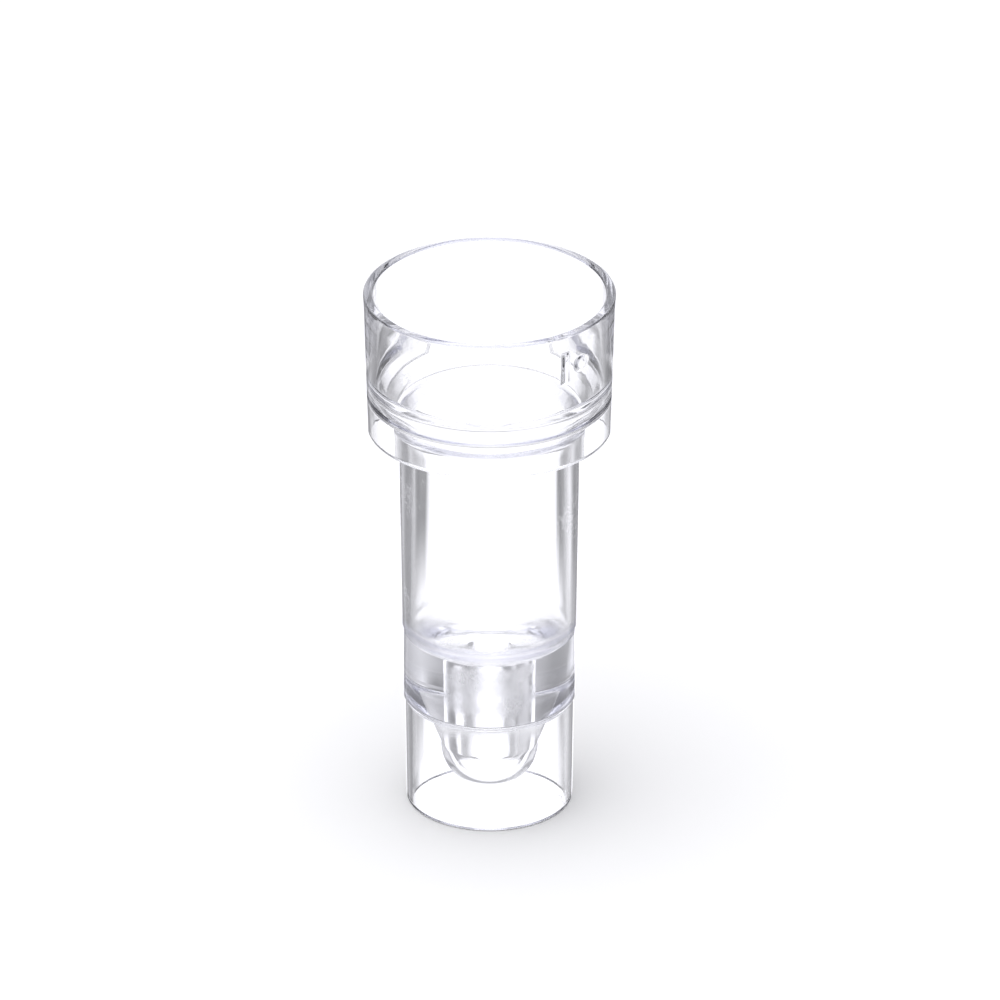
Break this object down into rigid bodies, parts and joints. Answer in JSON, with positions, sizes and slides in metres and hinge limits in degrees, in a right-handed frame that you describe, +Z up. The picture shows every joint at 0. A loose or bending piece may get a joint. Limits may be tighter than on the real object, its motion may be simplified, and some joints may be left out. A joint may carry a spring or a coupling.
{
  "type": "sample cup",
  "caption": "Clear moulded sample cup with a wide collar mouth, a slim barrel, a narrow round-tipped well and an open skirt it stands on; it holds a small liquid sample for an analyser probe.",
  "frame": {"origin": "centre of the resting edge, at the bottom of the cup", "axes": "+Z up along the cup's axis, towards the mouth; the moulded cavity marks are on the collar towards +X and -Y"},
  "size_m": [0.017, 0.017, 0.038],
  "materials": {
    "clear_plastic": "clear moulded polystyrene, polished"
  },
  "bodies": {
    "root": {"rim": "clear_plastic", "collar": "clear_plastic", "funnel": "clear_plastic", "flare": "clear_plastic", "collar_skirt": "clear_plastic", "barrel": "clear_plastic", "floor_block": "clear_plastic", "well": "clear_plastic", "well_tip": "clear_plastic", "base_skirt": "clear_plastic", "foot": "clear_plastic", "cavity_bar": "clear_plastic", "cavity_dot": "clear_plastic"}
  },
  "joints": []
}
